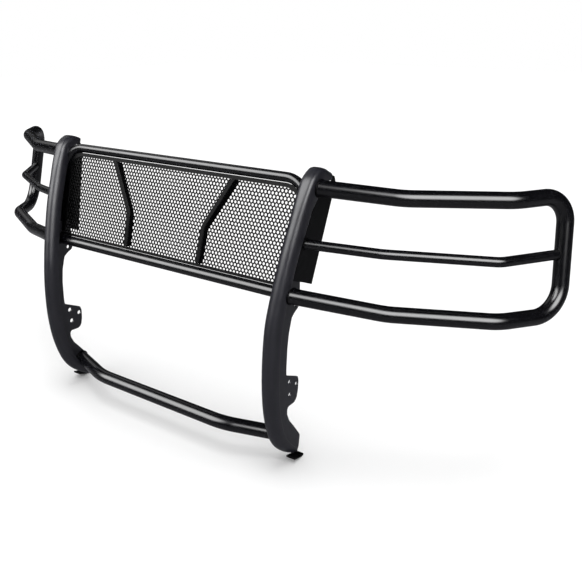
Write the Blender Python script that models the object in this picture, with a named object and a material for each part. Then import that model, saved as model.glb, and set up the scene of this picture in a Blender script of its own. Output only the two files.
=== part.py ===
"""Front grille guard for a pickup truck.

Two formed steel uprights carry a perforated grille frame between them, a lower
crossbar near their feet and a swept headlight wing on each outer side.
Metres, +Z up, +X to the guard's left-hand wing, -Y to the front. The origin is
on the ground, under the middle of the guard's overall width and depth; the sizes
below are measured along Y from the upper bolt hole of the mounting brackets.
"""

import math

import bmesh
import bpy
from mathutils import Matrix, Vector

# ---------------------------------------------------------------- driving sizes
GAP = 0.0003                 # clearance kept where two pieces touch

TUBE_OD = 0.0410             # wing loops and lower crossbar, nominal 1 5/8 in tube
MID_OD = 0.0254              # wing middle tubes, 1 in tube
FRAME_TOP_OD = 0.0254        # top tube of the grille frame
FRAME_LOW_OD = 0.0300        # bottom tube of the grille frame
TUBE_SIDES_RESOLUTION = 3    # bevel resolution of every tube

SHELL_X = 0.414              # middle of an upright's formed shell, below the lean
SHELL_WIDTH = 0.047
SHELL_DEPTH = 0.0305         # front crown to the rear edges of the side walls
SHELL_WALL = 0.003
LEAN_START = 0.45            # height above which the uprights lean outward
LEAN = 0.08                  # outward lean, metres per metre of height
LEAN_BLEND = 0.02            # softness of the start of the lean

WEB_X = 0.4285               # middle of the upright's web plate
WEB_THICK = 0.005
SIDE_PLATE_THICK = 0.004
BOLT_HOLE = 0.0140
LUG_HOLE = 0.0115

GRILLE_LOW_Y = 0.006         # axis of the grille frame's bottom tube
GRILLE_LOW_Z = 0.508
GRILLE_RAKE = math.radians(17.5)
GRILLE_HEIGHT = 0.2878       # between the axes of the two frame tubes
MESH_BACK = -0.004           # rear face of the punched sheet, off the tube plane
MESH_THICK = 0.002
RAIL_THICK = 0.0025
RAIL_WIDTH = 0.011

CROSS_BEND = Vector((0.2431, -0.0569, 0.0957))
CROSS_END = Vector((0.3920, 0.0040, 0.0785))

# ------------------------------------------------------------------ scene set-up
for old in list(bpy.data.objects):
    bpy.data.objects.remove(old, do_unlink=True)

parts = bpy.data.collections.new("front_grille_guard")
bpy.context.scene.collection.children.link(parts)


def make_material(name, color, roughness, metallic):
    material = bpy.data.materials.new(name)
    material.use_nodes = True
    shader = material.node_tree.nodes["Principled BSDF"]
    shader.inputs["Base Color"].default_value = (*color, 1.0)
    shader.inputs["Roughness"].default_value = roughness
    shader.inputs["Metallic"].default_value = metallic
    return material


TUBE_FINISH = ("tube_powder_coat", (0.018, 0.018, 0.021), 0.28, 0.0)
SHELL_FINISH = ("shell_powder_coat", (0.022, 0.022, 0.026), 0.34, 0.0)
PLATE_FINISH = ("plate_powder_coat", (0.014, 0.014, 0.016), 0.42, 0.0)
MESH_FINISH = ("mesh_powder_coat", (0.012, 0.012, 0.014), 0.45, 0.0)


def add_object(name, mesh, finish):
    """Link a finished mesh as one named sub-part with its own material."""
    slot, color, roughness, metallic = finish
    mesh.materials.clear()
    mesh.materials.append(make_material(slot + "_" + name, color, roughness, metallic))
    mesh.shade_smooth()
    mesh.set_sharp_from_angle(angle=math.radians(35))
    piece = bpy.data.objects.new(name, mesh)
    parts.objects.link(piece)
    return piece


# -------------------------------------------------------------- shape functions
def rounded_route(corners, radii, steps=5):
    """Points along straight runs joined by arcs of the given bend radii."""
    points = [Vector(corners[0])]
    for before, corner, after, radius in zip(corners, corners[1:], corners[2:], radii):
        corner = Vector(corner)
        to_before = (Vector(before) - corner).normalized()
        to_after = (Vector(after) - corner).normalized()
        half = to_before.angle(to_after) / 2
        bisector = (to_before + to_after).normalized()
        centre = corner + bisector * (radius / math.sin(half))
        start = corner + to_before * (radius / math.tan(half))
        arm = start - centre
        axis = arm.cross(corner + to_after * (radius / math.tan(half)) - centre)
        sweep = math.pi - 2 * half
        for step in range(steps + 1):
            turn = Matrix.Rotation(sweep * step / steps, 3, axis)
            points.append(centre + turn @ arm)
    points.append(Vector(corners[-1]))
    return points


def mesh_from_curve(curve, matrix=None):
    """Evaluate a curve as a closed, welded mesh in world space."""
    carrier = bpy.data.objects.new("carrier", curve)
    parts.objects.link(carrier)
    if matrix is not None:
        carrier.matrix_world = matrix
    bpy.context.view_layer.update()
    depsgraph = bpy.context.evaluated_depsgraph_get()
    mesh = bpy.data.meshes.new_from_object(carrier.evaluated_get(depsgraph))
    mesh.transform(carrier.matrix_world)
    bpy.data.objects.remove(carrier)
    work = bmesh.new()
    work.from_mesh(mesh)
    bmesh.ops.remove_doubles(work, verts=work.verts, dist=0.00002)
    bmesh.ops.recalc_face_normals(work, faces=work.faces)
    work.to_mesh(mesh)
    work.free()
    return mesh


def tube_mesh(points, diameter):
    curve = bpy.data.curves.new("route", "CURVE")
    curve.dimensions = "3D"
    curve.bevel_depth = diameter / 2
    curve.bevel_resolution = TUBE_SIDES_RESOLUTION
    curve.use_fill_caps = True
    spline = curve.splines.new("POLY")
    spline.points.add(len(points) - 1)
    for spot, place in zip(spline.points, points):
        spot.co = (*place, 1.0)
    return mesh_from_curve(curve)


def circle(centre, diameter, count=16):
    cx, cy = centre
    turns = [2 * math.pi * k / count for k in range(count)]
    return [(cx + diameter / 2 * math.cos(a), cy + diameter / 2 * math.sin(a)) for a in turns]


def sheet_mesh(outlines, thickness, matrix):
    """A flat plate from its outline and holes, centred on the matrix's XY plane."""
    curve = bpy.data.curves.new("outline", "CURVE")
    curve.dimensions = "2D"
    curve.fill_mode = "BOTH"
    curve.extrude = thickness / 2
    for outline in outlines:
        spline = curve.splines.new("POLY")
        spline.points.add(len(outline) - 1)
        spline.use_cyclic_u = True
        for spot, (across, along) in zip(spline.points, outline):
            spot.co = (across, along, 0.0, 1.0)
    return mesh_from_curve(curve, matrix)


def trim(mesh, place, normal):
    """Cut away everything on the normal's side of a plane and close the cut."""
    work = bmesh.new()
    work.from_mesh(mesh)
    everything = work.verts[:] + work.edges[:] + work.faces[:]
    bmesh.ops.bisect_plane(work, geom=everything, plane_co=place, plane_no=normal,
                           clear_outer=True, dist=0.00001)
    rim = [edge for edge in work.edges if edge.is_boundary]
    bmesh.ops.holes_fill(work, edges=rim)
    bmesh.ops.recalc_face_normals(work, faces=work.faces)
    work.to_mesh(mesh)
    work.free()


def cut(piece, cutter_mesh):
    """Boolean difference, applied, with the cutter removed afterwards."""
    cutter = bpy.data.objects.new("cutter", cutter_mesh)
    parts.objects.link(cutter)
    modifier = piece.modifiers.new("cope", "BOOLEAN")
    modifier.operation = "DIFFERENCE"
    modifier.solver = "EXACT"
    modifier.object = cutter
    bpy.context.view_layer.update()
    depsgraph = bpy.context.evaluated_depsgraph_get()
    result = bpy.data.meshes.new_from_object(piece.evaluated_get(depsgraph))
    piece.modifiers.clear()
    piece.data = result
    bpy.data.objects.remove(cutter)


def loft_mesh(sections):
    """A closed body through equal-sized closed sections, with flat ends."""
    work = bmesh.new()
    rings = [[work.verts.new(place) for place in section] for section in sections]
    count = len(rings[0])
    for lower, upper in zip(rings, rings[1:]):
        for k in range(count):
            nxt = (k + 1) % count
            work.faces.new((lower[k], lower[nxt], upper[nxt], upper[k]))
    half = count // 2
    for ring in (rings[0], rings[-1]):
        for k in range(half - 1):
            work.faces.new((ring[k], ring[k + 1], ring[count - 2 - k], ring[count - 1 - k]))
    bmesh.ops.recalc_face_normals(work, faces=work.faces)
    mesh = bpy.data.meshes.new("loft")
    work.to_mesh(mesh)
    work.free()
    return mesh


def smooth_through(knots, steps):
    """Catmull-Rom points through a short list of knots of equal length tuples."""
    ends = [[2 * a - b for a, b in zip(knots[0], knots[1])]]
    tail = [[2 * a - b for a, b in zip(knots[-1], knots[-2])]]
    chain = ends + [list(knot) for knot in knots] + tail
    points = []
    for p0, p1, p2, p3 in zip(chain, chain[1:], chain[2:], chain[3:]):
        for step in range(steps):
            t = step / steps
            points.append([0.5 * (2 * b + (c - a) * t + (2 * a - 5 * b + 4 * c - d) * t ** 2
                                  + (3 * b - a - 3 * c + d) * t ** 3)
                           for a, b, c, d in zip(p0, p1, p2, p3)])
    points.append(list(knots[-1]))
    return points


def lean_at(height):
    """How far an upright stands out of the vertical at a height."""
    rise = height - LEAN_START
    return LEAN / 2 * (rise + math.hypot(rise, LEAN_BLEND))


# --------------------------------------------------------------------- uprights
# Crown line of the shell seen from the side: (y, z, depth of the side walls, how
# far the outer wall runs on past the middle, and the inner one stays behind it).
CROWN = [
    (0.020, 0.0125, 0.018, 0.0), (-0.014, 0.0385, 0.026, 0.0),
    (-0.047, 0.075, SHELL_DEPTH, 0.0), (-0.070, 0.125, SHELL_DEPTH, 0.0),
    (-0.087, 0.210, SHELL_DEPTH, 0.0), (-0.088, 0.320, SHELL_DEPTH, 0.0),
    (-0.070, 0.450, SHELL_DEPTH, 0.0), (-0.025, 0.600, SHELL_DEPTH, 0.0),
    (0.020, 0.710, 0.034, 0.0), (0.047, 0.765, 0.042, 0.0), (0.068, 0.796, 0.044, 0.0),
    (0.098, 0.813, 0.036, 0.004), (0.122, 0.8095, 0.030, 0.008),
    (0.144, 0.799, 0.020, 0.012),
]
ROUND = 0.87                 # exponent of the shell's section; smaller is squarer
ROUND_TOP = 0.60
SQUARE_FROM, SQUARE_TO = 0.69, 0.80


def roundness(height):
    """The shell is round below and grows squarer over its hooked top."""
    t = min(max((height - SQUARE_FROM) / (SQUARE_TO - SQUARE_FROM), 0.0), 1.0)
    return ROUND + (ROUND_TOP - ROUND) * t * t * (3 - 2 * t)


def shell_section(place, way, depth, skew, side):
    """One U-shaped section: the outer half-round, then the inner one back."""
    ring = []
    count = 10
    half_width = SHELL_WIDTH / 2
    power = roundness(place[1])
    for inset, order in ((0.0, range(count + 1)), (SHELL_WALL, range(count, -1, -1))):
        for k in order:
            angle = math.pi * k / count
            share = math.copysign(abs(math.cos(angle)) ** power, math.cos(angle))
            reach = min(depth, SHELL_DEPTH) if share < 0 else depth
            back = inset + (reach - inset) * (1 - math.sin(angle) ** power)
            y = place[0] + way[0] * back - way[1] * skew * share
            z = place[1] + way[1] * back + way[0] * skew * share
            ring.append((side * (SHELL_X + lean_at(z) + (half_width - inset) * share), y, z))
    return ring


def crown_stations():
    """Crown points with the direction of the side walls at each of them."""
    line = smooth_through(CROWN, 2)
    stations = []
    for k, (y, z, depth, skew) in enumerate(line):
        before = line[max(k - 1, 0)]
        after = line[min(k + 1, len(line) - 1)]
        way = Vector((after[0] - before[0], after[1] - before[1])).normalized()
        stations.append(((y, z), (way.y, -way.x), depth, skew))
    return stations


def build_shell(name, side):
    """The shell, its inner wall notched for the grille's top tube and the crossbar."""
    sections = [shell_section(*station, side) for station in crown_stations()]
    shell = add_object(name, loft_mesh(sections), SHELL_FINISH)
    cut(shell, tube_mesh(grille_top_route(), FRAME_TOP_OD + 4 * GAP))
    cut(shell, tube_mesh(crossbar_route(), TUBE_OD + 4 * GAP))
    return shell


def side_matrix(x, lean=0.0):
    """Plate plane facing +X: its first axis runs back along Y, its second up."""
    up = Vector((lean, 0.0, 1.0)).normalized()
    back = Vector((0.0, 1.0, 0.0))
    out = back.cross(up)
    matrix = Matrix((back, up, out)).transposed().to_4x4()
    matrix.translation = x
    return matrix


def lip_points(first, last):
    """Rear edge of the shell's side wall between two heights, as (y, z)."""
    edge = []
    for place, way, depth, _ in crown_stations():
        y = place[0] + way[0] * depth
        z = place[1] + way[1] * depth
        if first <= z <= last and place[1] > 0.15:
            edge.append((y, z))
    return edge


# The web's rear outline from its top end down to the foot: (y, z).
WEB_REAR = [
    (0.050, 0.560), (0.050, 0.477), (0.043, 0.462), (0.027, 0.456), (0.011, 0.446),
    (-0.0035, 0.406), (-0.011, 0.366), (-0.016, 0.310), (-0.0165, 0.288),
    (0.0335, 0.261), (0.0415, 0.257), (0.0455, 0.243), (0.0425, 0.214),
    (0.0355, 0.192), (0.0235, 0.184), (-0.007, 0.187), (-0.0125, 0.180),
    (-0.013, 0.165), (-0.003, 0.141), (0.025, 0.102), (0.054, 0.059),
    (0.048, 0.0225), (0.039, 0.0084), (0.032, 0.0084), (0.0360, 0.0205),
]
WEB_FRONT_INSET = 0.0190     # web front edge behind the shell's crown
BRACKET_HOLES = [(0.000, 0.2605), (0.0345, 0.2375), (0.0010, 0.2205)]
TAB_HOLE = (0.0300, 0.4725)


def build_web(name, side):
    front = []
    for place, way, _, _ in crown_stations():
        y = place[0] + way[0] * WEB_FRONT_INSET
        z = place[1] + way[1] * WEB_FRONT_INSET
        if 0.03 < z < 0.56:
            front.append((y, z))
    front.append((front[-1][0] + 0.006, 0.560))
    outline = WEB_REAR + front
    holes = [circle(place, BOLT_HOLE) for place in BRACKET_HOLES]
    holes.append(circle(TAB_HOLE, LUG_HOLE))
    mesh = sheet_mesh([outline] + holes, WEB_THICK, side_matrix((side * WEB_X, 0.0, 0.0)))
    return add_object(name, mesh, SHELL_FINISH)


FOOT_THICK = 0.006
FOOT_X = (0.4220, 0.4500)    # across the foot, from its inner to its outer edge
FOOT_REAR = 0.044
FOOT_BEND = 0.033            # flat behind this line, turned up in front of it
FOOT_LOW = 0.002
FOOT_FRONT = (-0.006, 0.0165)


def build_foot(name, side):
    """Bent flange under the upright: its flat rear part stands on the ground."""
    front_y, front_z = FOOT_FRONT
    profile = [
        (FOOT_REAR, FOOT_LOW), (FOOT_REAR, FOOT_LOW + FOOT_THICK),
        (FOOT_BEND, FOOT_LOW + FOOT_THICK), (front_y, front_z + FOOT_THICK),
        (front_y, front_z), (FOOT_BEND, FOOT_LOW),
    ]
    middle = side * sum(FOOT_X) / 2
    mesh = sheet_mesh([profile], FOOT_X[1] - FOOT_X[0], side_matrix((middle, 0.0, 0.0)))
    return add_object(name, mesh, PLATE_FINISH)


SIDE_PLATE_LIP = (0.548, 0.770)      # heights between which it meets the shell
# The rest of its outline, over the rear top corner and down: (y, z).
SIDE_PLATE_REAR = [
    (0.1080, 0.7740), (0.1240, 0.7730), (0.1420, 0.7705), (0.1482, 0.7738),
    (0.1562, 0.7865), (0.1610, 0.7815), (0.1690, 0.7660), (0.0900, 0.5120), (0.0455, 0.5330),
]


def side_plate_outer_x(height):
    return SHELL_X + SHELL_WIDTH / 2 + LEAN * (height - LEAN_START)


def build_side_plate(name, side):
    """Leaning plate behind the shell that carries the wing and the grille."""
    stretch = math.hypot(1.0, LEAN)
    edge = [(y + 2 * GAP + 0.0004, z) for y, z in lip_points(*SIDE_PLATE_LIP)]
    outline = [(y, z * stretch) for y, z in edge + SIDE_PLATE_REAR]
    base = SHELL_X + SHELL_WIDTH / 2 - LEAN * LEAN_START - SIDE_PLATE_THICK / 2
    place = (side * base, 0.0, 0.0)
    mesh = sheet_mesh([outline], SIDE_PLATE_THICK, side_matrix(place, side * LEAN))
    return add_object(name, mesh, PLATE_FINISH)


# ------------------------------------------------------------------------ wings
WING_TOP = [(0.4300, 0.0765, 0.7702), (0.655, 0.149, 0.755), (0.882, 0.282, 0.752)]
WING_TOP_CORNER = (0.9725, 0.4035, 0.751)
WING_LOW_CORNER = (1.0085, 0.3420, 0.465)
WING_LOW = [(0.899, 0.198, 0.475), (0.6581, 0.0786, 0.4836), (0.4100, -0.0235, 0.5200)]
WING_MID = [(0.4200, 0.0290, 0.6395), (0.627, 0.107, 0.624), (0.8765, 0.2336, 0.612)]
WING_MID_SHARE = 0.485       # where the middle tube meets the outer upright run
WING_BENDS = [0.22, 0.12, 0.062, 0.080, 0.12, 0.34]
MID_BENDS = [0.22, 0.07]


def mirrored(points, side):
    return [(side * x, y, z) for x, y, z in points]


def outboard_plane(side):
    """Outer face of the shell and side plate, with the touching clearance."""
    place = Vector((side * (side_plate_outer_x(LEAN_START) + 2 * GAP), 0.0, LEAN_START))
    normal = Vector((-side, 0.0, LEAN))
    return place, normal


def wing_route(side):
    corners = WING_TOP + [WING_TOP_CORNER, WING_LOW_CORNER] + WING_LOW
    return rounded_route(mirrored(corners, side), WING_BENDS)


def build_wing_loop(name, side):
    mesh = tube_mesh(wing_route(side), TUBE_OD)
    trim(mesh, *outboard_plane(side))
    return add_object(name, mesh, TUBE_FINISH)


def build_wing_middle(name, side):
    top = Vector(WING_TOP_CORNER)
    low = Vector(WING_LOW_CORNER)
    end = top.lerp(low, WING_MID_SHARE)
    corners = mirrored(WING_MID + [tuple(end)], side)
    mesh = tube_mesh(rounded_route(corners, MID_BENDS), MID_OD)
    trim(mesh, *outboard_plane(side))
    piece = add_object(name, mesh, TUBE_FINISH)
    cut(piece, tube_mesh(wing_route(side), TUBE_OD + 2 * GAP + 0.0004))
    return piece


# ----------------------------------------------------------------- grille frame
def grille_matrix(off_plane):
    """Raked plane of the grille: X across, Y up the rake, Z towards the front."""
    matrix = Matrix.Rotation(math.pi / 2 - GRILLE_RAKE, 4, "X")
    place = Matrix.Translation((0.0, GRILLE_LOW_Y, GRILLE_LOW_Z))
    return place @ matrix @ Matrix.Translation((0.0, 0.0, off_plane))


def on_grille(across, along, off_plane=0.0):
    return grille_matrix(off_plane) @ Vector((across, along, 0.0))


def inboard_plane(side):
    """Inner face of the side plate, with the touching clearance."""
    inner = side_plate_outer_x(LEAN_START) - SIDE_PLATE_THICK - 2 * GAP
    return Vector((side * inner, 0.0, LEAN_START)), Vector((side, 0.0, -LEAN))


TOP_STRAIGHT = 0.402         # corner point of the top tube's end bends
TOP_DROP_ANGLE = math.radians(55)
TOP_BEND = 0.070


def grille_top_route():
    reach = 0.10
    drop = on_grille(TOP_STRAIGHT + reach * math.cos(TOP_DROP_ANGLE),
                     GRILLE_HEIGHT - reach * math.sin(TOP_DROP_ANGLE))
    corner = on_grille(TOP_STRAIGHT, GRILLE_HEIGHT)
    return rounded_route([(-drop.x, drop.y, drop.z), (-corner.x, corner.y, corner.z),
                          corner, drop], [TOP_BEND, TOP_BEND])


def build_grille_top(name):
    mesh = tube_mesh(grille_top_route(), FRAME_TOP_OD)
    for side in (1, -1):
        trim(mesh, *inboard_plane(side))
    return add_object(name, mesh, TUBE_FINISH)


def build_grille_bottom(name):
    reach = WEB_X - WEB_THICK / 2 - GAP
    route = [(-reach, GRILLE_LOW_Y, GRILLE_LOW_Z), (reach, GRILLE_LOW_Y, GRILLE_LOW_Z)]
    return add_object(name, tube_mesh(route, FRAME_LOW_OD), TUBE_FINISH)


SHEET_LOW = FRAME_LOW_OD / 2 + 0.0005
SHEET_HIGH = GRILLE_HEIGHT - FRAME_TOP_OD / 2 - 0.0008
WEB_TOP = 0.0700             # raked height at which the webs end


def inner_edge(along, inset=0.0):
    """Half width available between the webs and side plates at a raked height."""
    height = on_grille(0.0, along).z
    plate = side_plate_outer_x(height) - SIDE_PLATE_THICK - 0.0012
    web = WEB_X - WEB_THICK / 2 - 0.0006
    return (web if along < WEB_TOP else plate) - inset


def corner_arc(offset, steps=6):
    """Points along the underside of the bent top tube, from middle to end."""
    centre_x = TOP_STRAIGHT - TOP_BEND * math.tan(TOP_DROP_ANGLE / 2)
    centre_along = GRILLE_HEIGHT - TOP_BEND
    radius = TOP_BEND - FRAME_TOP_OD / 2 - offset
    arc = []
    for step in range(steps + 1):
        turn = TOP_DROP_ANGLE * step / steps
        arc.append((centre_x + radius * math.sin(turn), centre_along + radius * math.cos(turn)))
    return arc


def run_out(arc, limit):
    """Carry an arc straight on at its last slope until it meets the end plate."""
    x, along = arc[-1]
    slope = math.tan(TOP_DROP_ANGLE)
    for _ in range(8):
        edge = limit(along)
        along = arc[-1][1] - slope * (edge - arc[-1][0])
    return (limit(along), along)


def build_mesh_panel(name):
    arc = corner_arc(0.0012)
    end = run_out(arc, inner_edge)
    below, above = WEB_TOP - 0.002, WEB_TOP + 0.002
    half = [(inner_edge(SHEET_LOW), SHEET_LOW), (inner_edge(below), below),
            (inner_edge(above), WEB_TOP), end] + arc[::-1]
    outline = half + [(-x, along) for x, along in reversed(half)]
    mesh = sheet_mesh([outline], MESH_THICK, grille_matrix(MESH_BACK + MESH_THICK / 2))
    return add_object(name, mesh, MESH_FINISH)


def build_top_rail(name):
    """Folded band under the top tube, following its rounded ends."""
    outer = corner_arc(0.0012)
    inner = corner_arc(0.0012 + RAIL_WIDTH)
    outer.append(run_out(outer, lambda along: inner_edge(along, 0.0010)))
    inner.append(run_out(inner, lambda along: inner_edge(along, 0.0010)))
    loop = [(-x, along) for x, along in reversed(outer)] + outer
    loop += inner[::-1] + [(-x, along) for x, along in inner]
    off = MESH_BACK + MESH_THICK + GAP + RAIL_THICK / 2
    mesh = sheet_mesh([loop], RAIL_THICK, grille_matrix(off))
    return add_object(name, mesh, PLATE_FINISH)


def build_bottom_rail(name):
    reach = inner_edge(SHEET_LOW, 0.0010)
    low = FRAME_LOW_OD / 2 + 0.0008
    high = low + RAIL_WIDTH * 0.75
    outline = [(-reach, low), (reach, low), (reach, high), (-reach, high)]
    off = MESH_BACK + MESH_THICK + GAP + RAIL_THICK / 2
    mesh = sheet_mesh([outline], RAIL_THICK, grille_matrix(off))
    return add_object(name, mesh, PLATE_FINISH)


END_RAIL_NEAR = 0.4070       # inner edge of the bands at the ends of the sheet


def build_end_rail(name, side):
    """Flat band on the end of the sheet, cut to the slope of the top rail."""
    arc = corner_arc(0.0012 + RAIL_WIDTH + 4 * GAP)
    x, along = arc[-1]
    below = WEB_TOP - 0.002
    low = FRAME_LOW_OD / 2 + 0.0008 + RAIL_WIDTH * 0.75 + 2 * GAP
    corners = [(END_RAIL_NEAR, low), (inner_edge(below, 0.0010), low),
               (inner_edge(below, 0.0010), below), (inner_edge(WEB_TOP + 0.002, 0.0010), WEB_TOP),
               run_out(arc, lambda at: inner_edge(at, 0.0010)),
               (END_RAIL_NEAR, along - math.tan(TOP_DROP_ANGLE) * (END_RAIL_NEAR - x))]
    outline = [(side * a, b) for a, b in corners]
    off = MESH_BACK + MESH_THICK + GAP + RAIL_THICK / 2
    mesh = sheet_mesh([outline], RAIL_THICK, grille_matrix(off))
    return add_object(name, mesh, PLATE_FINISH)


STRUT_WIDTH = 0.021
STRUT_DEPTH = 0.0160
STRUT_LINE = [(0.1340, 0.0262), (0.1374, 0.1248), (0.2206, 0.2750)]


def build_strut(name, side):
    """Formed rib on the face of the mesh, bent once at mid height."""
    corners = [(side * x, along, 0.0) for x, along in STRUT_LINE]
    line = rounded_route(corners, [0.060], steps=4)
    left, right = [], []
    for k, place in enumerate(line):
        before = line[max(k - 1, 0)]
        after = line[min(k + 1, len(line) - 1)]
        way = (after - before).normalized()
        across = Vector((-way.y, way.x, 0.0)) * STRUT_WIDTH / 2
        left.append(tuple((place + across)[:2]))
        right.append(tuple((place - across)[:2]))
    outline = left + right[::-1]
    off = MESH_BACK + MESH_THICK + GAP + STRUT_DEPTH / 2
    mesh = sheet_mesh([outline], STRUT_DEPTH, grille_matrix(off))
    under_rail = SHEET_HIGH - RAIL_WIDTH - 2 * GAP
    up_rake = grille_matrix(0.0).to_3x3() @ Vector((0.0, 1.0, 0.0))
    trim(mesh, on_grille(0.0, under_rail), up_rake)
    return add_object(name, mesh, PLATE_FINISH)


# --------------------------------------------------------------- lower crossbar
def crossbar_route():
    run = (CROSS_END - CROSS_BEND).normalized()
    far = CROSS_BEND + run * 0.30
    corners = [(-far.x, far.y, far.z), (-CROSS_BEND.x, CROSS_BEND.y, CROSS_BEND.z),
               CROSS_BEND, far]
    return rounded_route(corners, [0.18, 0.18])


def build_crossbar(name):
    """Bent bar that reaches past the shells' rear lips to the two webs."""
    mesh = tube_mesh(crossbar_route(), TUBE_OD)
    reach = WEB_X - WEB_THICK / 2 - GAP
    for side in (1, -1):
        trim(mesh, Vector((side * reach, 0.0, 0.0)), Vector((side, 0.0, 0.0)))
    return add_object(name, mesh, TUBE_FINISH)


# --------------------------------------------------------------------- assembly
for label, side in (("left", 1), ("right", -1)):
    build_shell("upright_shell_" + label, side)
    build_web("upright_web_" + label, side)
    build_foot("foot_plate_" + label, side)
    build_side_plate("side_plate_" + label, side)
    build_wing_loop("wing_loop_tube_" + label, side)
    build_wing_middle("wing_middle_tube_" + label, side)
    build_strut("grille_strut_" + label, side)
    build_end_rail("mesh_end_rail_" + label, side)

build_grille_top("grille_top_tube")
build_grille_bottom("grille_bottom_tube")
build_mesh_panel("mesh_panel")
build_top_rail("mesh_top_rail")
build_bottom_rail("mesh_bottom_rail")
build_crossbar("lower_crossbar")

# ----------------------------------------------------------------------- origin
places = [vertex.co for piece in parts.objects for vertex in piece.data.vertices]
depths = [place.y for place in places]
middle = (min(depths) + max(depths)) / 2
to_origin = Matrix.Translation((0.0, -middle, -min(place.z for place in places)))
for piece in parts.objects:
    piece.data.transform(to_origin)
print("origin moved by", to_origin.translation)
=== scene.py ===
"""Front grille guard: the finished look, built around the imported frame.

The shapes are worked out in the part's own design frame, measured along Y from
the upper bolt hole of the mounting brackets and along Z from 2 mm below the
feet, and then moved onto the frame. Metres, +Z up, -Y to the front.
"""

import math

import bmesh
import bpy
from mathutils import Matrix, Vector, noise


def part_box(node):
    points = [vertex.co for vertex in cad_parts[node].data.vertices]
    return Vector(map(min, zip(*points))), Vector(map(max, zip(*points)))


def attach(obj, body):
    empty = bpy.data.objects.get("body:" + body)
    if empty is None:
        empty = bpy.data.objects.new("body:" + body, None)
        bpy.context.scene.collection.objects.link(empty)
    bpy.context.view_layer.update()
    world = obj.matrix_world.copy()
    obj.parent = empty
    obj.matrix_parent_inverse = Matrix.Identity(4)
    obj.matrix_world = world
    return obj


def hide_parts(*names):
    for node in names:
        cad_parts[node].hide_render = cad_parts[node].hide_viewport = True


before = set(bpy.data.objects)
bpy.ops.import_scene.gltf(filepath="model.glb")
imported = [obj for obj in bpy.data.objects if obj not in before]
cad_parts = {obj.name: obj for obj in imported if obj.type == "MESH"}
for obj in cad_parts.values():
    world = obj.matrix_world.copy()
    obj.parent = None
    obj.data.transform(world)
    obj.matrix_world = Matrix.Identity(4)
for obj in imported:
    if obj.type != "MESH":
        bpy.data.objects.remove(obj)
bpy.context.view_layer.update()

# ---------------------------------------------------------------- driving sizes
TUBE_OD = 0.0410             # wing loops and lower crossbar
MID_OD = 0.0254              # wing middle tubes
FRAME_TOP_OD = 0.0254        # top tube of the grille frame
FRAME_LOW_OD = 0.0300        # bottom tube of the grille frame
TUBE_SIDES = 48
BEND_STEPS = 16              # facets along a bend

SHELL_X = 0.414              # middle of an upright's shell, below its lean
SHELL_WIDTH = 0.047
SHELL_DEPTH = 0.0305
SHELL_WALL = 0.003
LEAN_START = 0.45            # height where the uprights start to lean outwards
LEAN = 0.08                  # outwards per metre of height
LEAN_BLEND = 0.02            # how gently the lean sets in

WEB_X = 0.4285               # middle of an upright's web plate
WEB_THICK = 0.005
SIDE_PLATE_THICK = 0.004
BOLT_HOLE = 0.0140           # the bracket's three holes
LUG_HOLE = 0.0115

GRILLE_LOW_Y = 0.006         # axis of the bottom tube, where the raked plane starts
GRILLE_LOW_Z = 0.508
GRILLE_RAKE = math.radians(17.5)
GRILLE_HEIGHT = 0.2878       # between the axes of the two frame tubes, up the rake
MESH_BACK = -0.004           # rear face of the sheet, off the raked plane
MESH_THICK = 0.0020
HOLE_PITCH = 0.0110
HOLE = 0.0081
RAIL_THICK = 0.0025
RAIL_WIDTH = 0.011
CLEAR = 0.0003               # clearance where pieces touch
MERGE = 0.00001              # points closer than this are one point

BEAD = 0.0020                # radius of a weld bead
BEAD_PITCH = 0.0042          # spacing of its ripples

SIDES = (("left", 1), ("right", -1))

bottom_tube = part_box("grille_bottom_tube")
TO_FRAME = Matrix.Translation((bottom_tube[0] + bottom_tube[1]) / 2
                              - Vector((0.0, GRILLE_LOW_Y, GRILLE_LOW_Z)))


# -------------------------------------------------------------------- materials
NOISE_LOW, NOISE_HIGH = 0.3, 0.7             # what a noise texture mostly stays between
DRIFT_SCALE, DRIFT_DETAIL = 9.0, 4.0
HAZE_SCALE, HAZE_DETAIL = 42.0, 5.0
PEEL_SCALE, PEEL_DETAIL = 520.0, 2.0
TONE_SWING = 0.12                            # share by which the tone drifts either way
SMOOTHER, ROUGHER = 0.03, 0.04               # how far the roughness strays either way
PEEL_STRENGTH, PEEL_HEIGHT = 0.3, 0.00003
COAT_SHARE = 0.6                             # roughness of the clear layer against the base


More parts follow.
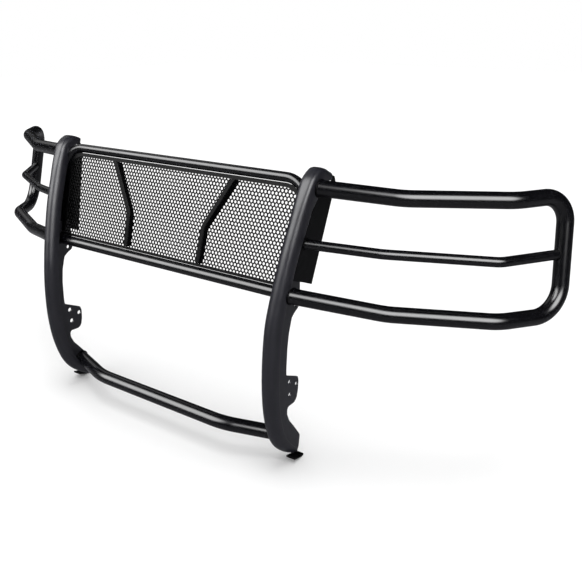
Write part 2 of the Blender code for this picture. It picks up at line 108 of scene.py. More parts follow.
def powder_coat(name, color, roughness, specular, coat):
    """Black powder coat: slight tone drift, uneven gloss and a fine orange peel."""
    material = bpy.data.materials.new(name)
    material.use_nodes = True
    nodes = material.node_tree.nodes
    links = material.node_tree.links
    shader = nodes["Principled BSDF"]
    place = nodes.new("ShaderNodeTexCoord")

    def noise_texture(scale, detail):
        texture = nodes.new("ShaderNodeTexNoise")
        texture.inputs["Scale"].default_value = scale
        texture.inputs["Detail"].default_value = detail
        links.new(place.outputs["Object"], texture.inputs["Vector"])
        return texture

    drift = noise_texture(DRIFT_SCALE, DRIFT_DETAIL)
    tone = nodes.new("ShaderNodeValToRGB")
    tone.color_ramp.elements[0].position = NOISE_LOW
    tone.color_ramp.elements[0].color = (*[c * (1 - TONE_SWING) for c in color], 1.0)
    tone.color_ramp.elements[1].position = NOISE_HIGH
    tone.color_ramp.elements[1].color = (*[c * (1 + TONE_SWING) for c in color], 1.0)
    links.new(drift.outputs["Fac"], tone.inputs["Fac"])
    links.new(tone.outputs["Color"], shader.inputs["Base Color"])

    haze = noise_texture(HAZE_SCALE, HAZE_DETAIL)
    gloss = nodes.new("ShaderNodeMapRange")
    gloss.inputs["From Min"].default_value = NOISE_LOW
    gloss.inputs["From Max"].default_value = NOISE_HIGH
    gloss.inputs["To Min"].default_value = roughness - SMOOTHER
    gloss.inputs["To Max"].default_value = roughness + ROUGHER
    links.new(haze.outputs["Fac"], gloss.inputs["Value"])
    links.new(gloss.outputs["Result"], shader.inputs["Roughness"])

    peel = noise_texture(PEEL_SCALE, PEEL_DETAIL)
    bump = nodes.new("ShaderNodeBump")
    bump.inputs["Strength"].default_value = PEEL_STRENGTH
    bump.inputs["Distance"].default_value = PEEL_HEIGHT
    links.new(peel.outputs["Fac"], bump.inputs["Height"])
    links.new(bump.outputs["Normal"], shader.inputs["Normal"])

    shader.inputs["Metallic"].default_value = 0.0
    shader.inputs["IOR"].default_value = 1.5
    shader.inputs["Specular IOR Level"].default_value = specular
    shader.inputs["Coat Weight"].default_value = coat
    shader.inputs["Coat Roughness"].default_value = roughness * COAT_SHARE
    return material


# Each slot's material: name, colour, roughness, specular level and clear layer.
FINISHES = {
    "tube_coat": powder_coat("gloss_black_tube", (0.0028, 0.0028, 0.0038), 0.21, 0.50, 0.3),
    "upright_coat": powder_coat("black_upright", (0.0120, 0.0120, 0.0165), 0.36, 0.55, 0.0),
    "plate_coat": powder_coat("satin_black_plate", (0.0010, 0.0010, 0.0013), 0.42, 0.09, 0.0),
    "mesh_coat": powder_coat("satin_black_sheet", (0.0008, 0.0008, 0.0010), 0.42, 0.10, 0.0),
}


def add_piece(name, mesh, slot, node=None, sharp=35):
    """Put a finished mesh on the frame, in place of its CAD node when it has one."""
    mesh.transform(TO_FRAME)
    mesh.materials.clear()
    mesh.materials.append(FINISHES[slot])
    mesh.shade_smooth()
    mesh.set_sharp_from_angle(angle=math.radians(sharp))
    piece = bpy.data.objects.new(name, mesh)
    bpy.context.scene.collection.objects.link(piece)
    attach(piece, "root")
    if node:
        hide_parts(node)
    return piece


def soften(piece, width, segments=3, angle=30):
    """Round the piece's edges."""
    bevel = piece.modifiers.new("edges", "BEVEL")
    bevel.width = width
    bevel.segments = segments
    bevel.limit_method = "ANGLE"
    bevel.angle_limit = math.radians(angle)
    bevel.harden_normals = True


# -------------------------------------------------------------- shape functions
def rounded_route(corners, radii, steps=BEND_STEPS):
    """Points along straight runs joined by arcs of the given bend radii."""
    points = [Vector(corners[0])]
    for before, corner, after, radius in zip(corners, corners[1:], corners[2:], radii):
        corner = Vector(corner)
        to_before = (Vector(before) - corner).normalized()
        to_after = (Vector(after) - corner).normalized()
        half = to_before.angle(to_after) / 2
        bisector = (to_before + to_after).normalized()
        centre = corner + bisector * (radius / math.sin(half))
        arm = corner + to_before * (radius / math.tan(half)) - centre
        axis = arm.cross(corner + to_after * (radius / math.tan(half)) - centre)
        sweep = math.pi - 2 * half
        for step in range(steps + 1):
            points.append(centre + Matrix.Rotation(sweep * step / steps, 3, axis) @ arm)
    points.append(Vector(corners[-1]))
    return points


def mesh_from_curve(curve, matrix=None):
    """Evaluate a curve as a welded mesh."""
    carrier = bpy.data.objects.new("carrier", curve)
    bpy.context.scene.collection.objects.link(carrier)
    if matrix is not None:
        carrier.matrix_world = matrix
    bpy.context.view_layer.update()
    depsgraph = bpy.context.evaluated_depsgraph_get()
    mesh = bpy.data.meshes.new_from_object(carrier.evaluated_get(depsgraph))
    mesh.transform(carrier.matrix_world)
    bpy.data.objects.remove(carrier)
    work = bmesh.new()
    work.from_mesh(mesh)
    bmesh.ops.remove_doubles(work, verts=work.verts, dist=MERGE)
    bmesh.ops.recalc_face_normals(work, faces=work.faces)
    work.to_mesh(mesh)
    work.free()
    return mesh


def tube_mesh(points, diameter, radii=None, closed=False, sides=TUBE_SIDES):
    """A round tube or rod along the points; radii scales it point by point."""
    curve = bpy.data.curves.new("route", "CURVE")
    curve.dimensions = "3D"
    curve.bevel_depth = diameter / 2
    curve.bevel_resolution = sides // 2 - 2
    curve.use_fill_caps = not closed
    spline = curve.splines.new("POLY")
    spline.points.add(len(points) - 1)
    spline.use_cyclic_u = closed
    for k, place in enumerate(points):
        spline.points[k].co = (*place, 1.0)
        spline.points[k].radius = radii[k] if radii else 1.0
    return mesh_from_curve(curve)


def sheet_mesh(outlines, thickness, matrix):
    """A flat plate from its outline and holes, centred on the matrix's XY plane."""
    curve = bpy.data.curves.new("outline", "CURVE")
    curve.dimensions = "2D"
    curve.fill_mode = "BOTH"
    curve.extrude = thickness / 2
    for outline in outlines:
        spline = curve.splines.new("POLY")
        spline.points.add(len(outline) - 1)
        spline.use_cyclic_u = True
        for spot, (across, along) in zip(spline.points, outline):
            spot.co = (across, along, 0.0, 1.0)
    return mesh_from_curve(curve, matrix)


HOLE_FACETS = 32
CORNER_STEPS = 5
CORNER_SHARE = 0.45          # longest share of a side that one rounded corner takes


def circle(centre, diameter):
    """A closed 2D outline of a round hole."""
    turns = [2 * math.pi * k / HOLE_FACETS for k in range(HOLE_FACETS)]
    return [(centre[0] + diameter / 2 * math.cos(a), centre[1] + diameter / 2 * math.sin(a))
            for a in turns]


def eased(outline, radius):
    """A closed 2D outline with its corners rounded off."""
    points = []
    count = len(outline)
    for k in range(count):
        here = Vector(outline[k])
        back = Vector(outline[k - 1]) - here
        ahead = Vector(outline[(k + 1) % count]) - here
        reach = min(radius, back.length * CORNER_SHARE, ahead.length * CORNER_SHARE)
        start = here + back.normalized() * reach
        end = here + ahead.normalized() * reach
        for step in range(CORNER_STEPS + 1):
            t = step / CORNER_STEPS
            points.append(tuple(start * (1 - t) ** 2 + here * 2 * t * (1 - t) + end * t ** 2))
    return points


def trim(mesh, place, normal):
    """Cut away everything on the normal's side of a plane and close the cut."""
    work = bmesh.new()
    work.from_mesh(mesh)
    everything = work.verts[:] + work.edges[:] + work.faces[:]
    bmesh.ops.bisect_plane(work, geom=everything, plane_co=place, plane_no=normal,
                           clear_outer=True, dist=MERGE)
    bmesh.ops.holes_fill(work, edges=[edge for edge in work.edges if edge.is_boundary])
    bmesh.ops.recalc_face_normals(work, faces=work.faces)
    work.to_mesh(mesh)
    work.free()


def cut(mesh, cutter_mesh):
    """The mesh with the cutter taken out of it."""
    body = bpy.data.objects.new("body", mesh)
    cutter = bpy.data.objects.new("cutter", cutter_mesh)
    for carrier in (body, cutter):
        bpy.context.scene.collection.objects.link(carrier)
    modifier = body.modifiers.new("cope", "BOOLEAN")
    modifier.operation = "DIFFERENCE"
    modifier.solver = "EXACT"
    modifier.object = cutter
    bpy.context.view_layer.update()
    depsgraph = bpy.context.evaluated_depsgraph_get()
    result = bpy.data.meshes.new_from_object(body.evaluated_get(depsgraph))
    bpy.data.objects.remove(body)
    bpy.data.objects.remove(cutter)
    return result


def loft_mesh(sections):
    """A closed body through equal-sized closed sections, with flat ends."""
    work = bmesh.new()
    rings = [[work.verts.new(place) for place in section] for section in sections]
    count = len(rings[0])
    for lower, upper in zip(rings, rings[1:]):
        for k in range(count):
            nxt = (k + 1) % count
            work.faces.new((lower[k], lower[nxt], upper[nxt], upper[k]))
    half = count // 2
    for ring in (rings[0], rings[-1]):
        for k in range(half - 1):
            work.faces.new((ring[k], ring[k + 1], ring[count - 2 - k], ring[count - 1 - k]))
    bmesh.ops.recalc_face_normals(work, faces=work.faces)
    mesh = bpy.data.meshes.new("loft")
    work.to_mesh(mesh)
    work.free()
    return mesh


def smooth_through(knots, steps):
    """Catmull-Rom points through a short list of knots of equal length tuples."""
    first = [2 * a - b for a, b in zip(knots[0], knots[1])]
    last = [2 * a - b for a, b in zip(knots[-1], knots[-2])]
    chain = [first] + [list(knot) for knot in knots] + [last]
    points = []
    for p0, p1, p2, p3 in zip(chain, chain[1:], chain[2:], chain[3:]):
        for step in range(steps):
            t = step / steps
            points.append([0.5 * (2 * b + (c - a) * t + (2 * a - 5 * b + 4 * c - d) * t ** 2
                                  + (3 * b - a - 3 * c + d) * t ** 3)
                           for a, b, c, d in zip(p0, p1, p2, p3)])
    points.append(list(knots[-1]))
    return points


def lean_at(height):
    """How far an upright stands out of the vertical at a height."""
    rise = height - LEAN_START
    return LEAN / 2 * (rise + math.hypot(rise, LEAN_BLEND))


def mirrored(points, side):
    """Points of the left side of the object, or their mirror images on its right."""
    return [(side * x, y, z) for x, y, z in points]


# ------------------------------------------------------------------- weld beads
BEAD_OUT, BEAD_BACK = 0.25, 0.35             # its middle, out of the tube and off the wall
BEAD_RIPPLE, BEAD_DRIFT = 0.13, 0.16         # how much its thickness varies
DRIFT_RATE = 120.0                           # variations per metre
BEAD_SIDES = 12
BEAD_POINTS = 48             # fewest points round a bead
RIPPLE_POINTS = 6            # points to one ripple
JOINT_BEAD = 0.6                             # size of a thin rod's bead against the others


def meet_plane(place, normal):
    """Distance along a line to a plane."""
    def distance(start, way):
        return (place - start).dot(normal) / way.dot(normal)
    return distance


def meet_tube(place, along, radius):
    """Distance along a line to a round tube's near wall."""
    along = along.normalized()

    def distance(start, way):
        off = (start - place) - along * (start - place).dot(along)
        run = way - along * way.dot(along)
        a = run.dot(run)
        b = off.dot(run)
        c = off.dot(off) - radius ** 2
        return (-b - math.sqrt(max(b * b - a * c, 0.0))) / a
    return distance


def weld_ring(name, start, end, radius, meet, size=BEAD):
    """A rippled fillet bead where a round tube, on its way to end, meets a surface."""
    start = Vector(start)
    way = (Vector(end) - start).normalized()
    across = way.orthogonal().normalized()
    up = way.cross(across)
    turns = 2 * math.pi * radius / BEAD_PITCH
    count = max(BEAD_POINTS, int(turns) * RIPPLE_POINTS)
    path, radii = [], []
    for k in range(count):
        turn = 2 * math.pi * k / count
        spoke = across * math.cos(turn) + up * math.sin(turn)
        rim = start + spoke * (radius + size * BEAD_OUT)
        path.append(rim + way * (meet(rim, way) - size * BEAD_BACK))
        ripple = math.sin(2 * math.pi * round(turns) * k / count)
        drift = noise.noise(path[-1] * DRIFT_RATE)
        radii.append(1.0 + BEAD_RIPPLE * ripple + BEAD_DRIFT * drift)
    mesh = tube_mesh(path, 2 * size, radii, closed=True, sides=BEAD_SIDES)
    return add_piece(name, mesh, "plate_coat", sharp=60)


# --------------------------------------------------------------------- uprights
# Crown line of the shell seen from the side: y, z, the depth of the side walls, and
# how far the outer wall runs on past the middle and the inner one stays behind it.
CROWN = [
    (0.020, 0.0125, 0.018, 0.0), (-0.014, 0.0385, 0.026, 0.0),
    (-0.047, 0.075, SHELL_DEPTH, 0.0), (-0.070, 0.125, SHELL_DEPTH, 0.0),
    (-0.087, 0.210, SHELL_DEPTH, 0.0), (-0.088, 0.320, SHELL_DEPTH, 0.0),
    (-0.070, 0.450, SHELL_DEPTH, 0.0), (-0.025, 0.600, SHELL_DEPTH, 0.0),
    (0.020, 0.710, 0.034, 0.0), (0.047, 0.765, 0.042, 0.0), (0.068, 0.796, 0.044, 0.0),
    (0.098, 0.813, 0.036, 0.004), (0.122, 0.8095, 0.030, 0.008),
    (0.144, 0.799, 0.020, 0.012),
]
SHELL_STEPS = 9              # sections from one crown point to the next
SHELL_ARC = 36               # facets round the section
LIP_STEPS = 4
ROUND = 0.87                 # exponent of the shell's section; smaller is squarer
ROUND_TOP = 0.60
SQUARE_FROM, SQUARE_TO = 0.69, 0.80          # heights between which it changes
SLOT_CLEAR = 4 * CLEAR       # added to a tube's diameter where it passes a shell


def roundness(height):
    """The shell is round below and grows squarer over its hooked top."""
    t = min(max((height - SQUARE_FROM) / (SQUARE_TO - SQUARE_FROM), 0.0), 1.0)
    return ROUND + (ROUND_TOP - ROUND) * t * t * (3 - 2 * t)


def section_point(place, way, depth, skew, angle, inset, side):
    """A point of the shell's section, inset from its outer face.

    place is on the crown line and way is the direction of the side walls there.
    """
    power = roundness(place[1])
    share = math.copysign(abs(math.cos(angle)) ** power, math.cos(angle))
    reach = min(depth, SHELL_DEPTH) if share < 0 else depth
    back = inset + (reach - inset) * (1 - math.sin(angle) ** power)
    y = place[0] + way[0] * back - way[1] * skew * share
    z = place[1] + way[1] * back + way[0] * skew * share
    return Vector((side * (SHELL_X + lean_at(z) + (SHELL_WIDTH / 2 - inset) * share), y, z))


def shell_section(place, way, depth, skew, side):
    """U-shaped section with rounded lips: outer face, lip, inner face, lip."""
    angles = [math.pi * k / SHELL_ARC for k in range(SHELL_ARC + 1)]
    outer = [section_point(place, way, depth, skew, a, 0.0, side) for a in angles]
    inner = [section_point(place, way, depth, skew, a, SHELL_WALL, side) for a in angles]
    rearward = Vector((0.0, way[0], way[1])) * SHELL_WALL / 2

    def lip(start, end):
        turns = [math.pi * k / (LIP_STEPS + 1) for k in range(1, LIP_STEPS + 1)]
        middle = (start + end) / 2 - rearward
        return [middle + (start - end) / 2 * math.cos(t) + rearward * math.sin(t) for t in turns]

    far_lip = lip(outer[-1], inner[-1])
    near_lip = lip(inner[0], outer[0])
    for ring in (outer, inner):
        ring[0] -= rearward
        ring[-1] -= rearward
    half = LIP_STEPS // 2
    return near_lip[half:] + outer + far_lip + inner[::-1] + near_lip[:half]


def crown_stations(steps=SHELL_STEPS):
    """Crown points with the direction of the side walls at each of them."""
    line = smooth_through(CROWN, steps)
    stations = []
    for k, (y, z, depth, skew) in enumerate(line):
        before = line[max(k - 1, 0)]
        after = line[min(k + 1, len(line) - 1)]
        way = Vector((after[0] - before[0], after[1] - before[1])).normalized()
        stations.append(((y, z), (way.y, -way.x), depth, skew))
    return stations


def side_matrix(place, lean=0.0):
    """Plate plane facing +X: its first axis runs back along Y, its second up."""
    up = Vector((lean, 0.0, 1.0)).normalized()
    back = Vector((0.0, 1.0, 0.0))
    matrix = Matrix((back, up, back.cross(up))).transposed().to_4x4()
    matrix.translation = place
    return matrix


def build_shell(label, side):
    """The formed shell, with the slots that let two tubes through its inner wall."""
    sections = [shell_section(*station, side) for station in crown_stations()]
    mesh = loft_mesh(sections)
    mesh = cut(mesh, tube_mesh(grille_top_route(), FRAME_TOP_OD + SLOT_CLEAR))
    mesh = cut(mesh, tube_mesh(crossbar_route(), TUBE_OD + SLOT_CLEAR))
    add_piece("shell_" + label, mesh, "upright_coat", "upright_shell_" + label)


# The web's rear outline from its top end down to the foot, as y and z.
WEB_REAR = [
    (0.050, 0.560), (0.050, 0.477), (0.043, 0.462), (0.027, 0.456), (0.011, 0.446),
    (-0.0035, 0.406), (-0.011, 0.366), (-0.016, 0.310), (-0.0165, 0.288),
    (0.0335, 0.261), (0.0415, 0.257), (0.0455, 0.243), (0.0425, 0.214),
    (0.0355, 0.192), (0.0235, 0.184), (-0.007, 0.187), (-0.0125, 0.180),
    (-0.013, 0.165), (-0.003, 0.141), (0.025, 0.102), (0.054, 0.059),
    (0.048, 0.0225), (0.039, 0.0084), (0.032, 0.0084), (0.0360, 0.0205),
]
WEB_FRONT_INSET = 0.0190     # how deep in the shell its front edge runs
WEB_SPAN = (0.03, 0.56)
WEB_TOP_STEP = 0.006
WEB_CORNER, WEB_EDGE = 0.006, 0.0006
BRACKET_HOLES = [(0.000, 0.2605), (0.0345, 0.2375), (0.0010, 0.2205)]
LUG_PLACE = (0.0300, 0.4725)
WEB_STEPS, SIDE_PLATE_STEPS = 3, 4           # crown points between knots, for the plates


def build_web(label, side):
    """The plate inside a shell, with the bracket ear and the lug."""
    front = []
    for place, way, _, _ in crown_stations(WEB_STEPS):
        y = place[0] + way[0] * WEB_FRONT_INSET
        z = place[1] + way[1] * WEB_FRONT_INSET
        if WEB_SPAN[0] < z < WEB_SPAN[1]:
            front.append((y, z))
    front.append((front[-1][0] + WEB_TOP_STEP, WEB_SPAN[1]))
    outline = eased(WEB_REAR + front, WEB_CORNER)
    holes = [circle(place, BOLT_HOLE) for place in BRACKET_HOLES]
    holes.append(circle(LUG_PLACE, LUG_HOLE))
    mesh = sheet_mesh([outline] + holes, WEB_THICK, side_matrix((side * WEB_X, 0.0, 0.0)))
    piece = add_piece("web_" + label, mesh, "upright_coat", "upright_web_" + label)
    soften(piece, WEB_EDGE)


FOOT_THICK = 0.006
FOOT_X = (0.4220, 0.4500)
FOOT_REAR = 0.044
FOOT_BEND = 0.033
FOOT_LOW = 0.002
FOOT_FRONT = (-0.006, 0.0165)
FOOT_EDGE = 0.0012


def build_foot(label, side):
    """The flange under an upright: flat at the rear, rising to the front."""
    front_y, front_z = FOOT_FRONT
    profile = [
        (FOOT_REAR, FOOT_LOW), (FOOT_REAR, FOOT_LOW + FOOT_THICK),
        (FOOT_BEND, FOOT_LOW + FOOT_THICK), (front_y, front_z + FOOT_THICK),
        (front_y, front_z), (FOOT_BEND, FOOT_LOW),
    ]
    middle = side * sum(FOOT_X) / 2
    mesh = sheet_mesh([profile], FOOT_X[1] - FOOT_X[0], side_matrix((middle, 0.0, 0.0)))
    piece = add_piece("foot_" + label, mesh, "plate_coat", "foot_plate_" + label)
    soften(piece, FOOT_EDGE)


SIDE_PLATE_LIP = (0.548, 0.770)              # heights where it follows the shell's lip
SIDE_PLATE_GAP = 0.001
SIDE_PLATE_CORNER, SIDE_PLATE_EDGE = 0.003, 0.0008
SIDE_PLATE_REAR = [
    (0.1080, 0.7740), (0.1240, 0.7730), (0.1420, 0.7705), (0.1482, 0.7738),
    (0.1562, 0.7865), (0.1610, 0.7815), (0.1690, 0.7660), (0.0900, 0.5120), (0.0455, 0.5330),
]


def side_plate_outer_x(height):
    """Outer face of the side plate, in line with the shell's."""
    return SHELL_X + SHELL_WIDTH / 2 + LEAN * (height - LEAN_START)


def build_side_plate(label, side):
    """Leaning plate behind the shell that carries the wing and the grille."""
    stretch = math.hypot(1.0, LEAN)
    edge = []
    for place, way, depth, _ in crown_stations(SIDE_PLATE_STEPS):
        y = place[0] + way[0] * depth + SIDE_PLATE_GAP
        z = place[1] + way[1] * depth
        if SIDE_PLATE_LIP[0] <= z <= SIDE_PLATE_LIP[1]:
            edge.append((y, z))
    outline = eased([(y, z * stretch) for y, z in edge + SIDE_PLATE_REAR],
                    SIDE_PLATE_CORNER)
    base = SHELL_X + SHELL_WIDTH / 2 - LEAN * LEAN_START - SIDE_PLATE_THICK / 2
    leaning = side_matrix((side * base, 0.0, 0.0), side * LEAN)
    mesh = sheet_mesh([outline], SIDE_PLATE_THICK, leaning)
    piece = add_piece("side_sheet_" + label, mesh, "plate_coat", "side_plate_" + label)
    soften(piece, SIDE_PLATE_EDGE)


# ------------------------------------------------------------------------ wings
# Corners of the bent tubes on the left side, inner end first, except WING_LOW, which
# runs back in. The bend radii follow the loop round from its top.
WING_TOP = [(0.4300, 0.0765, 0.7702), (0.655, 0.149, 0.755), (0.882, 0.282, 0.752)]
WING_TOP_CORNER = (0.9725, 0.4035, 0.751)
WING_LOW_CORNER = (1.0085, 0.3420, 0.465)
WING_LOW = [(0.899, 0.198, 0.475), (0.6581, 0.0786, 0.4836), (0.4100, -0.0235, 0.5200)]
WING_MID = [(0.4200, 0.0290, 0.6395), (0.627, 0.107, 0.624), (0.8765, 0.2336, 0.612)]
WING_MID_SHARE = 0.485       # how far down the loop's outer leg the middle tube ends
WING_BENDS = [0.22, 0.12, 0.062, 0.080, 0.12, 0.34]
MID_BENDS = [0.22, 0.07]


def outboard_plane(side):
    """Outer face of the shell and side plate, with the touching clearance."""
    place = Vector((side * (side_plate_outer_x(LEAN_START) + 2 * CLEAR), 0.0, LEAN_START))
    return place, Vector((-side, 0.0, LEAN))


def build_wing(label, side):
    """The bent loop, its middle tube and the beads at their four joints."""
    corners = mirrored(WING_TOP + [WING_TOP_CORNER, WING_LOW_CORNER] + WING_LOW, side)
    loop_route = rounded_route(corners, WING_BENDS)
    loop = tube_mesh(loop_route, TUBE_OD)
    trim(loop, *outboard_plane(side))
    add_piece("wing_loop_" + label, loop, "tube_coat", "wing_loop_tube_" + label)

    top, low = Vector(corners[3]), Vector(corners[4])
    joint = top.lerp(low, WING_MID_SHARE)
    middle_corners = mirrored(WING_MID, side) + [tuple(joint)]
    middle = tube_mesh(rounded_route(middle_corners, MID_BENDS), MID_OD)
    trim(middle, *outboard_plane(side))
    middle = cut(middle, tube_mesh(loop_route, TUBE_OD + 2 * CLEAR))
    add_piece("wing_middle_" + label, middle, "tube_coat", "wing_middle_tube_" + label)

    wall = meet_plane(*outboard_plane(side))
    weld_ring("weld_wing_top_" + label, corners[1], corners[0], TUBE_OD / 2, wall)
    weld_ring("weld_wing_low_" + label, corners[-2], corners[-1], TUBE_OD / 2, wall)
    weld_ring("weld_wing_middle_" + label, middle_corners[1], middle_corners[0],
              MID_OD / 2, wall)
    weld_ring("weld_wing_joint_" + label, middle_corners[-2], joint, MID_OD / 2,
              meet_tube(top, low - top, TUBE_OD / 2), size=BEAD * JOINT_BEAD)


# ----------------------------------------------------------------- grille frame
def grille_matrix(off_plane):
    """Raked plane of the grille: X across, Y up the rake, Z towards the front."""
    turn = Matrix.Rotation(math.pi / 2 - GRILLE_RAKE, 4, "X")
    place = Matrix.Translation((0.0, GRILLE_LOW_Y, GRILLE_LOW_Z))
    return place @ turn @ Matrix.Translation((0.0, 0.0, off_plane))


def on_grille(across, along, off_plane=0.0):
    """The place of a point given on the grille's raked plane."""
    return grille_matrix(off_plane) @ Vector((across, along, 0.0))


def inboard_plane(side):
    """Inner face of the side plate, with the touching clearance."""
    inner = side_plate_outer_x(LEAN_START) - SIDE_PLATE_THICK - 2 * CLEAR
    return Vector((side * inner, 0.0, LEAN_START)), Vector((side, 0.0, -LEAN))


TOP_STRAIGHT = 0.402         # half length of the top tube up to its corners
TOP_DROP_ANGLE = math.radians(55)
TOP_BEND = 0.070
TOP_REACH = 0.10             # past the side plate, where it is trimmed


def grille_top_route():
    """Axis of the top tube, whose ends drop past the side plates."""
    drop = on_grille(TOP_STRAIGHT + TOP_REACH * math.cos(TOP_DROP_ANGLE),
                     GRILLE_HEIGHT - TOP_REACH * math.sin(TOP_DROP_ANGLE))
    corner = on_grille(TOP_STRAIGHT, GRILLE_HEIGHT)
    corners = [drop, corner]
    return rounded_route([(-p.x, p.y, p.z) for p in corners] + corners[::-1],
                         [TOP_BEND, TOP_BEND])


def build_grille_tubes():
    """The two tubes of the grille frame and the beads at their ends."""
    route = grille_top_route()
    mesh = tube_mesh(route, FRAME_TOP_OD)
    for label, side in SIDES:
        trim(mesh, *inboard_plane(side))
        end = mirrored([tuple(route[-1])], side)[0]
        start = mirrored([tuple(route[-2])], side)[0]
        weld_ring("weld_grille_top_" + label, start, end, FRAME_TOP_OD / 2,
                  meet_plane(*inboard_plane(side)))
    add_piece("top_tube", mesh, "tube_coat", "grille_top_tube")

    reach = WEB_X - WEB_THICK / 2 - CLEAR
    middle = (0.0, GRILLE_LOW_Y, GRILLE_LOW_Z)
    ends = [(side * reach, GRILLE_LOW_Y, GRILLE_LOW_Z) for _, side in SIDES]
    add_piece("bottom_tube", tube_mesh(ends, FRAME_LOW_OD), "tube_coat", "grille_bottom_tube")
    for (label, side), end in zip(SIDES, ends):
        weld_ring("weld_grille_bottom_" + label, middle, end, FRAME_LOW_OD / 2,
                  meet_plane(Vector(end), Vector((side, 0.0, 0.0))))


SHEET_LOW = FRAME_LOW_OD / 2 + 0.0005
SHEET_HIGH = GRILLE_HEIGHT - FRAME_TOP_OD / 2 - 0.0008
TOP_GAP = 0.0012             # between the top tube and the sheet with its top rail
PLATE_GAP, WEB_GAP = 0.0012, 0.0006          # between the sheet and what is beside it
WEB_TOP = 0.0700             # raked height at which the webs end
ARC_STEPS = 14


def inner_edge(along, inset=0.0):
    """Half width available between the webs and side plates at a raked height."""
    height = on_grille(0.0, along).z
    plate = side_plate_outer_x(height) - SIDE_PLATE_THICK - PLATE_GAP
    web = WEB_X - WEB_THICK / 2 - WEB_GAP
    return (web if along < WEB_TOP else plate) - inset


def corner_arc(offset):
    """Points along the underside of the bent top tube, from middle to end."""
    centre_x = TOP_STRAIGHT - TOP_BEND * math.tan(TOP_DROP_ANGLE / 2)
    centre_along = GRILLE_HEIGHT - TOP_BEND
    radius = TOP_BEND - FRAME_TOP_OD / 2 - offset
    turns = [TOP_DROP_ANGLE * step / ARC_STEPS for step in range(ARC_STEPS + 1)]
    return [(centre_x + radius * math.sin(t), centre_along + radius * math.cos(t))
            for t in turns]


def run_out(arc, inset=0.0):
    """Carry an arc straight on at its last slope until it meets the side plate."""
    x, along = arc[-1]
    for _ in range(8):       # settles well within this
        along = arc[-1][1] - math.tan(TOP_DROP_ANGLE) * (inner_edge(along, inset) - x)
    return (inner_edge(along, inset), along)


HOLE_SIDES = 12              # each hole sits in a hexagon, as two facets to a side
CELL_MERGE = 0.00002
SHORT_RUN = 0.0005           # an outline run too short to be worth a cut


def punched_sheet(outline):
    """A sheet with round holes in staggered rows, trimmed to a convex outline."""
    facet = 360 / HOLE_SIDES
    cell = [(HOLE_PITCH / 2 / math.cos(math.radians(facet * (k % 2))), math.radians(facet * k))
            for k in range(HOLE_SIDES)]
    row_step = HOLE_PITCH * math.sin(math.radians(60))
    wide = max(x for x, _ in outline)
    rows = int((SHEET_HIGH - SHEET_LOW) / row_step) + 3
    columns = int(wide / HOLE_PITCH) + 2
    work = bmesh.new()
    for row in range(-1, rows):
        for column in range(-columns, columns + 1):
            x = (column + 0.5 * (row % 2)) * HOLE_PITCH
            y = SHEET_LOW + row * row_step
            if abs(x) > wide + HOLE_PITCH:
                continue
            rim = [work.verts.new((x + HOLE / 2 * math.cos(a), y + HOLE / 2 * math.sin(a), 0))
                   for _, a in cell]
            edge = [work.verts.new((x + r * math.cos(a), y + r * math.sin(a), 0))
                    for r, a in cell]
            for k in range(HOLE_SIDES):
                nxt = (k + 1) % HOLE_SIDES
                work.faces.new((rim[nxt], rim[k], edge[k], edge[nxt]))
    bmesh.ops.remove_doubles(work, verts=work.verts, dist=CELL_MERGE)
    for start, end in zip(outline, outline[1:] + outline[:1]):
        run = Vector((end[0] - start[0], end[1] - start[1], 0.0))
        if run.length < SHORT_RUN:
            continue
        everything = work.verts[:] + work.edges[:] + work.faces[:]
        bmesh.ops.bisect_plane(work, geom=everything, plane_co=(*start, 0.0),
                               plane_no=(run.y, -run.x, 0.0), clear_outer=True, dist=MERGE)
    mesh = bpy.data.meshes.new("punched")
    work.to_mesh(mesh)
    work.free()
    return mesh


def build_mesh_panel():
    """The perforated sheet, from the bottom tube up to the bent top tube."""
    arc = corner_arc(TOP_GAP)
    end = run_out(arc)
    low = (inner_edge(SHEET_LOW), SHEET_LOW)
    half = [low, end] + arc[::-1]
    outline = half + [(-x, along) for x, along in reversed(half)]
    mesh = punched_sheet(outline)
    mesh.transform(grille_matrix(MESH_BACK + MESH_THICK / 2))
    piece = add_piece("punched_sheet", mesh, "mesh_coat", "mesh_panel")
    thickness = piece.modifiers.new("thickness", "SOLIDIFY")
    thickness.thickness = MESH_THICK
    thickness.offset = 0.0


RAIL_END_GAP = 0.0010
RAIL_LOW_GAP = 0.0008
RAIL_LOW_SHARE = 0.75        # the bottom rail's width against the top one's
RAIL_EDGE = 0.0007
END_RAIL_NEAR = 0.4070       # inner edge of the bands at the ends of the sheet
END_RAIL_STEP = 0.002        # where they step out from the web to the side plate


